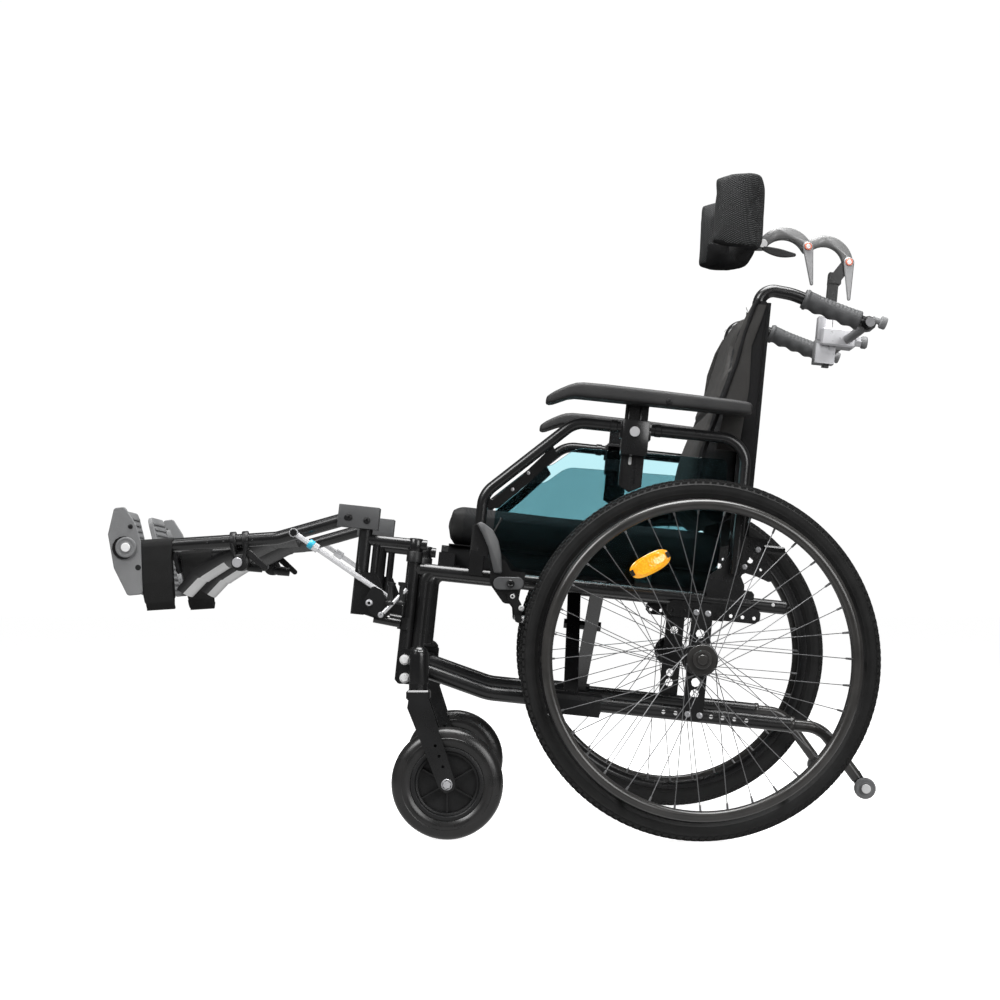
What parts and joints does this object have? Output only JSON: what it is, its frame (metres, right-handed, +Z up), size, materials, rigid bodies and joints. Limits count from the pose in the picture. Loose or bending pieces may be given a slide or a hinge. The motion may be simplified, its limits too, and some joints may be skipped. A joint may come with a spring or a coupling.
{
  "type": "reclining wheelchair",
  "caption": "Folding wheelchair with a reclining back, a jointed headrest, raised swing-away legrests, flip-up armrests and anti-tippers.",
  "frame": {"origin": "on the floor, under the centre of the chair's length and width", "axes": "+Z up, +Y towards the rear of the chair, +X towards the user's left side"},
  "size_m": [0.668, 1.3432, 1.1734],
  "materials": {
    "frame_paint": "satin",
    "rubber": "matte",
    "grey_plastic": "matte",
    "zinc": "satin",
    "guard": "gloss",
    "chrome": "polished",
    "fabric": "matte",
    "arm_grey": "satin"
  },
  "bodies": {
    "frame_left": {"side_frame_left": "frame_paint", "axle_plate_left": "frame_paint", "caster_housing_left": "frame_paint"},
    "frame_right": {"side_frame_right": "frame_paint", "axle_plate_right": "frame_paint", "caster_housing_right": "frame_paint"},
    "rear_wheel_left": {"rear_wheel_left": "frame_paint", "rear_tyre_left": "rubber", "handrim_left": "frame_paint"},
    "rear_wheel_right": {"rear_wheel_right": "frame_paint", "rear_tyre_right": "rubber", "handrim_right": "frame_paint"},
    "caster_fork_left": {"caster_fork_left": "frame_paint"},
    "caster_fork_right": {"caster_fork_right": "frame_paint"},
    "caster_wheel_left": {"caster_rim_left": "frame_paint", "caster_tyre_left": "rubber"},
    "caster_wheel_right": {"caster_rim_right": "frame_paint", "caster_tyre_right": "rubber"},
    "brake_lever_left": {"brake_lever_left": "grey_plastic"},
    "brake_lever_right": {"brake_lever_right": "grey_plastic"},
    "brake_arm_left": {"brake_arm_left": "zinc"},
    "brake_arm_right": {"brake_arm_right": "zinc"},
    "armrest_left": {"armrest_frame_left": "frame_paint", "side_guard_left": "guard"},
    "armrest_right": {"armrest_frame_right": "frame_paint", "side_guard_right": "guard"},
    "armrest_post_left": {"armrest_post_left": "frame_paint", "armrest_pad_left": "grey_plastic"},
    "armrest_post_right": {"armrest_post_right": "frame_paint", "armrest_pad_right": "grey_plastic"},
    "hanger_left": {"hanger_left": "frame_paint"},
    "hanger_right": {"hanger_right": "frame_paint"},
    "leg_left": {"leg_tube_left": "frame_paint"},
    "leg_right": {"leg_tube_right": "frame_paint"},
    "strut_left": {"strut_rod_left": "chrome"},
    "strut_right": {"strut_rod_right": "chrome"},
    "calf_pad_left": {"calf_pad_left": "grey_plastic"},
    "calf_pad_right": {"calf_pad_right": "grey_plastic"},
    "footplate_left": {"footplate_left": "grey_plastic"},
    "footplate_right": {"footplate_right": "grey_plastic"},
    "back_left": {"back_cane_left": "frame_paint", "push_grip_left": "rubber", "back_cushion": "fabric", "back_sling": "fabric"},
    "back_right": {"back_cane_right": "frame_paint", "push_grip_right": "rubber"},
    "anti_tipper_left": {"anti_tipper_left": "frame_paint"},
    "anti_tipper_right": {"anti_tipper_right": "frame_paint"},
    "anti_tip_wheel_left": {"anti_tip_wheel_left": "grey_plastic"},
    "anti_tip_wheel_right": {"anti_tip_wheel_right": "grey_plastic"},
    "cross_bar_left": {"cross_bar_left": "frame_paint"},
    "cross_bar_right": {"cross_bar_right": "frame_paint"},
    "seat": {"seat_sling": "fabric", "seat_cushion": "fabric"},
    "headrest_crossbar": {"headrest_crossbar": "frame_paint"},
    "headrest_post": {"headrest_post": "frame_paint"},
    "headrest_arm_rear": {"headrest_arm_rear": "arm_grey"},
    "headrest_arm_front": {"headrest_arm_front": "arm_grey"},
    "headrest_pad": {"headrest_pad": "fabric"}
  },
  "joints": [
    {"name": "fold", "type": "slide", "parent": "frame_left", "child": "frame_right", "axis": [1, 0, 0], "range_m": [0, 0.28], "deforming": ["seat_cushion", "seat_sling", "back_cushion", "back_sling"]},
    {"name": "cross_bar_turn_left", "type": "hinge", "parent": "frame_left", "child": "cross_bar_left", "pos_m": [0.225, 0.08979, 0.23427], "axis": [0, 0.9945, -0.1045], "range_deg": [0, 41]},
    {"name": "cross_bar_turn_right", "type": "hinge", "parent": "frame_right", "child": "cross_bar_right", "pos_m": [-0.225, 0.08979, 0.23427], "axis": [0, -0.9945, 0.1045], "range_deg": [0, 41]},
    {"name": "seat_rise", "type": "slide", "parent": "frame_left", "child": "seat", "axis": [0.5611, 0.0865, 0.8232], "range_m": [0, 0.25]},
    {"name": "wheel_spin_left", "type": "hinge", "parent": "frame_left", "child": "rear_wheel_left", "pos_m": [0.285, 0.3368, 0.305], "axis": [1, 0, 0], "continuous": true},
    {"name": "wheel_spin_right", "type": "hinge", "parent": "frame_right", "child": "rear_wheel_right", "pos_m": [-0.285, 0.3368, 0.305], "axis": [1, 0, 0], "continuous": true},
    {"name": "caster_swivel_left", "type": "hinge", "parent": "frame_left", "child": "caster_fork_left", "pos_m": [0.258, -0.1382, 0.3], "axis": [0, 0, 1], "continuous": true},
    {"name": "caster_swivel_right", "type": "hinge", "parent": "frame_right", "child": "caster_fork_right", "pos_m": [-0.258, -0.1382, 0.3], "axis": [0, 0, 1], "continuous": true},
    {"name": "caster_spin_left", "type": "hinge", "parent": "caster_fork_left", "child": "caster_wheel_left", "pos_m": [0.258, -0.0892, 0.095], "axis": [1, 0, 0], "continuous": true},
    {"name": "caster_spin_right", "type": "hinge", "parent": "caster_fork_right", "child": "caster_wheel_right", "pos_m": [-0.258, -0.0892, 0.095], "axis": [1, 0, 0], "continuous": true},
    {"name": "brake_release_left", "type": "hinge", "parent": "frame_left", "child": "brake_lever_left", "pos_m": [0.2603, -0.00483, 0.46292], "axis": [-1, 0, 0], "range_deg": [0, 45]},
    {"name": "brake_release_right", "type": "hinge", "parent": "frame_right", "child": "brake_lever_right", "pos_m": [-0.2603, -0.00483, 0.46292], "axis": [-1, 0, 0], "range_deg": [0, 45]},
    {"name": "brake_arm_turn_left", "type": "hinge", "parent": "frame_left", "child": "brake_arm_left", "pos_m": [0.2603, 0.01988, 0.41105], "axis": [-1, 0, 0], "range_deg": [0, 25.1]},
    {"name": "brake_arm_turn_right", "type": "hinge", "parent": "frame_right", "child": "brake_arm_right", "pos_m": [-0.2603, 0.01988, 0.41105], "axis": [-1, 0, 0], "range_deg": [0, 25.1]},
    {"name": "armrest_flip_left", "type": "hinge", "parent": "frame_left", "child": "armrest_left", "pos_m": [0.247, 0.40281, 0.45727], "axis": [-1, 0, 0], "range_deg": [0, 90]},
    {"name": "armrest_flip_right", "type": "hinge", "parent": "frame_right", "child": "armrest_right", "pos_m": [-0.247, 0.40281, 0.45727], "axis": [-1, 0, 0], "range_deg": [0, 90]},
    {"name": "armrest_height_left", "type": "slide", "parent": "armrest_left", "child": "armrest_post_left", "axis": [0, 0.1045, 0.9945], "range_m": [0, 0.055]},
    {"name": "armrest_height_right", "type": "slide", "parent": "armrest_right", "child": "armrest_post_right", "axis": [0, 0.1045, 0.9945], "range_m": [0, 0.055]},
    {"name": "hanger_swing_left", "type": "hinge", "parent": "frame_left", "child": "hanger_left", "pos_m": [0.225, -0.14475, 0.49974], "axis": [0, 0.1045, 0.9945], "range_deg": [0, 90]},
    {"name": "hanger_swing_right", "type": "hinge", "parent": "frame_right", "child": "hanger_right", "pos_m": [-0.225, -0.14475, 0.49974], "axis": [0, -0.1045, -0.9945], "range_deg": [0, 90]},
    {"name": "leg_lowering_left", "type": "hinge", "parent": "hanger_left", "child": "leg_left", "pos_m": [0.225, -0.26263, 0.54531], "axis": [1, 0, 0], "range_deg": [0, 50]},
    {"name": "leg_lowering_right", "type": "hinge", "parent": "hanger_right", "child": "leg_right", "pos_m": [-0.225, -0.26263, 0.54531], "axis": [1, 0, 0], "range_deg": [0, 50]},
    {"name": "strut_turn_left", "type": "hinge", "parent": "leg_left", "child": "strut_left", "pos_m": [0.2475, -0.35281, 0.5196], "axis": [-1, 0, 0], "range_deg": [0, 44]},
    {"name": "strut_turn_right", "type": "hinge", "parent": "leg_right", "child": "strut_right", "pos_m": [-0.2475, -0.35281, 0.5196], "axis": [-1, 0, 0], "range_deg": [0, 44]},
    {"name": "calf_turn_left", "type": "hinge", "parent": "leg_left", "child": "calf_pad_left", "pos_m": [0.225, -0.44819, 0.50662], "axis": [0, -0.9979, -0.0649], "range_deg": [0, 116.1]},
    {"name": "calf_turn_right", "type": "hinge", "parent": "leg_right", "child": "calf_pad_right", "pos_m": [-0.225, -0.44819, 0.50662], "axis": [0, 0.9979, 0.0649], "range_deg": [0, 116.1]},
    {"name": "footplate_turn_left", "type": "hinge", "parent": "leg_left", "child": "footplate_left", "pos_m": [0.205, -0.6398, 0.48692], "axis": [0, 0.2453, -0.9694], "range_deg": [0, 90.1]},
    {"name": "footplate_turn_right", "type": "hinge", "parent": "leg_right", "child": "footplate_right", "pos_m": [-0.205, -0.6398, 0.48692], "axis": [0, -0.2453, 0.9694], "range_deg": [0, 90.1]},
    {"name": "recline_left", "type": "hinge", "parent": "frame_left", "child": "back_left", "pos_m": [0.207, 0.40281, 0.45727], "axis": [-1, 0, 0], "range_deg": [0, 55]},
    {"name": "recline_right", "type": "hinge", "parent": "frame_right", "child": "back_right", "pos_m": [-0.207, 0.40281, 0.45727], "axis": [-1, 0, 0], "range_deg": [0, 55.1]},
    {"name": "anti_tipper_turn_left", "type": "hinge", "parent": "frame_left", "child": "anti_tipper_left", "pos_m": [0.225, 0.50251, 0.19089], "axis": [0, 0.9945, -0.1045], "range_deg": [0, 180]},
    {"name": "anti_tipper_turn_right", "type": "hinge", "parent": "frame_right", "child": "anti_tipper_right", "pos_m": [-0.225, 0.50251, 0.19089], "axis": [0, -0.9945, 0.1045], "range_deg": [0, 180]},
    {"name": "anti_tip_spin_left", "type": "hinge", "parent": "anti_tipper_left", "child": "anti_tip_wheel_left", "pos_m": [0.2445, 0.62009, 0.08502], "axis": [1, 0, 0], "continuous": true},
    {"name": "anti_tip_spin_right", "type": "hinge", "parent": "anti_tipper_right", "child": "anti_tip_wheel_right", "pos_m": [-0.2445, 0.62009, 0.08502], "axis": [1, 0, 0], "continuous": true},
    {"name": "headrest_centre", "type": "slide", "parent": "back_left", "child": "headrest_crossbar", "axis": [1, 0, 0], "range_m": [0, 0.141]},
    {"name": "headrest_height", "type": "slide", "parent": "headrest_crossbar", "child": "headrest_post", "axis": [0, 0.1045, 0.9945], "range_m": [0, 0.05]},
    {"name": "headrest_reach_rear", "type": "hinge", "parent": "headrest_post", "child": "headrest_arm_rear", "pos_m": [0, 0.64481, 1.02811], "axis": [-1, 0, 0], "range_deg": [0, 30]},
    {"name": "headrest_reach_front", "type": "hinge", "parent": "headrest_arm_rear", "child": "headrest_arm_front", "pos_m": [0, 0.56943, 1.05714], "axis": [-1, 0, 0], "range_deg": [-10, 40]},
    {"name": "headrest_tilt", "type": "hinge", "parent": "headrest_arm_front", "child": "headrest_pad", "pos_m": [0, 0.48667, 1.06383], "axis": [-1, 0, 0], "range_deg": [-20, 20]}
  ],
  "couplings": [
    {"joint": "cross_bar_turn_left", "follows": "fold", "rad_per_m": 2.5426},
    {"joint": "cross_bar_turn_right", "follows": "fold", "rad_per_m": 2.5426},
    {"joint": "seat_rise", "follows": "fold", "ratio": 0.8911},
    {"joint": "brake_arm_turn_left", "follows": "brake_release_left", "ratio": 0.5555},
    {"joint": "brake_arm_turn_right", "follows": "brake_release_right", "ratio": 0.5555},
    {"joint": "strut_turn_left", "follows": "leg_lowering_left", "ratio": 0.791},
    {"joint": "strut_turn_right", "follows": "leg_lowering_right", "ratio": 0.791},
    {"joint": "calf_turn_left", "follows": "fold", "rad_per_m": 7.2307},
    {"joint": "calf_turn_right", "follows": "fold", "rad_per_m": 7.2307},
    {"joint": "footplate_turn_left", "follows": "fold", "rad_per_m": 5.61},
    {"joint": "footplate_turn_right", "follows": "fold", "rad_per_m": 5.61},
    {"joint": "recline_right", "follows": "recline_left", "ratio": 1},
    {"joint": "headrest_centre", "follows": "fold", "ratio": 0.5}
  ]
}
